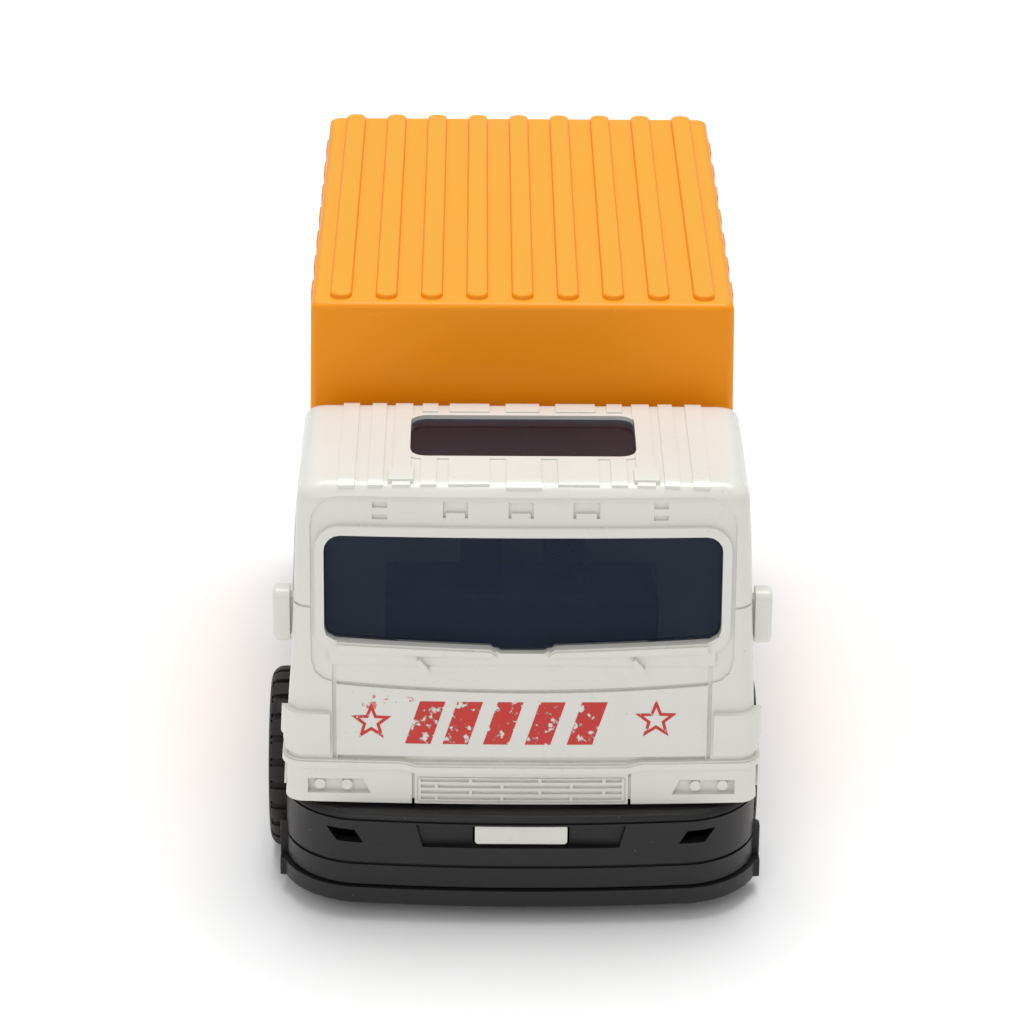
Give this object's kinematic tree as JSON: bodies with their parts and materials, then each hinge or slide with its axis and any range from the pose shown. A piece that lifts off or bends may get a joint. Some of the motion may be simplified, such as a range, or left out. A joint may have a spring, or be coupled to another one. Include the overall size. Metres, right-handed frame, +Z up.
{
  "type": "pull back truck",
  "caption": "Toy container truck with a cab-over cab, a ribbed container, free-rolling front wheels and a geared spring motor that drives the rear axle.",
  "frame": {"origin": "on the ground under the wheels, at the centre of the truck's length and width", "axes": "+X across the truck to the viewer's right when looking at its front, -Y out of the front, +Y to the rear, +Z up"},
  "size_m": [0.068, 0.121, 0.0752],
  "materials": {
    "white_plastic": "semi-gloss moulded, slightly creamy white",
    "orange_plastic": "semi-gloss moulded, translucent-looking orange",
    "black_plastic": "satin moulded black",
    "tinted_plastic": "clear moulding tinted dark blue, glossy",
    "tyre_rubber": "soft black, matt",
    "rim_plastic": "semi-gloss light grey",
    "steel": "bright drawn steel",
    "brass": "turned brass",
    "gear_plastic": "natural acetal",
    "case_plastic": "dark grey moulded"
  },
  "bodies": {
    "chassis": {"cab_shell": "white_plastic", "window_insert": "tinted_plastic", "container_shell": "orange_plastic", "chassis_frame": "black_plastic", "base_plate": "black_plastic", "motor_case_left": "case_plastic", "motor_case_right": "case_plastic", "mainspring": "steel", "compound_shaft": "steel", "case_screw_1": "steel", "case_screw_2": "steel", "screw_cab_left": "steel", "screw_cab_right": "steel", "screw_container_front_left": "steel", "screw_container_front_right": "steel", "screw_container_rear_left": "steel", "screw_container_rear_right": "steel"},
    "front_wheels": {"front_axle": "steel", "front_tyre_left": "tyre_rubber", "front_tyre_right": "tyre_rubber", "front_rim_left": "rim_plastic", "front_rim_right": "rim_plastic"},
    "rear_wheels": {"rear_axle": "steel", "rear_tyre_left": "tyre_rubber", "rear_tyre_right": "tyre_rubber", "rear_rim_left": "rim_plastic", "rear_rim_right": "rim_plastic", "axle_gear": "brass"},
    "compound": {"compound_gear": "gear_plastic"},
    "spring_drum": {"spring_gear": "gear_plastic"},
    "clutch": {"clutch_gear": "gear_plastic", "clutch_pin": "steel"}
  },
  "joints": [
    {"name": "front_axle_spin", "type": "hinge", "parent": "chassis", "child": "front_wheels", "pos_m": [0, -0.0355, 0.0125], "axis": [1, 0, 0], "continuous": true},
    {"name": "rear_axle_spin", "type": "hinge", "parent": "chassis", "child": "rear_wheels", "pos_m": [0, 0.034, 0.0125], "axis": [1, 0, 0], "continuous": true},
    {"name": "compound_gear_spin", "type": "hinge", "parent": "chassis", "child": "compound", "pos_m": [0, 0.02644, 0.01979], "axis": [1, 0, 0], "continuous": true},
    {"name": "spring_gear_spin", "type": "hinge", "parent": "chassis", "child": "spring_drum", "pos_m": [0, 0.01524, 0.0155], "axis": [1, 0, 0], "continuous": true},
    {"name": "clutch_gear_spin", "type": "hinge", "parent": "chassis", "child": "clutch", "pos_m": [0, 0.02793, 0.01018], "axis": [1, 0, 0], "continuous": true}
  ],
  "couplings": [
    {"joint": "compound_gear_spin", "follows": "rear_axle_spin", "ratio": -0.4},
    {"joint": "spring_gear_spin", "follows": "rear_axle_spin", "ratio": 0.13333},
    {"joint": "clutch_gear_spin", "follows": "rear_axle_spin", "ratio": -0.85714}
  ]
}
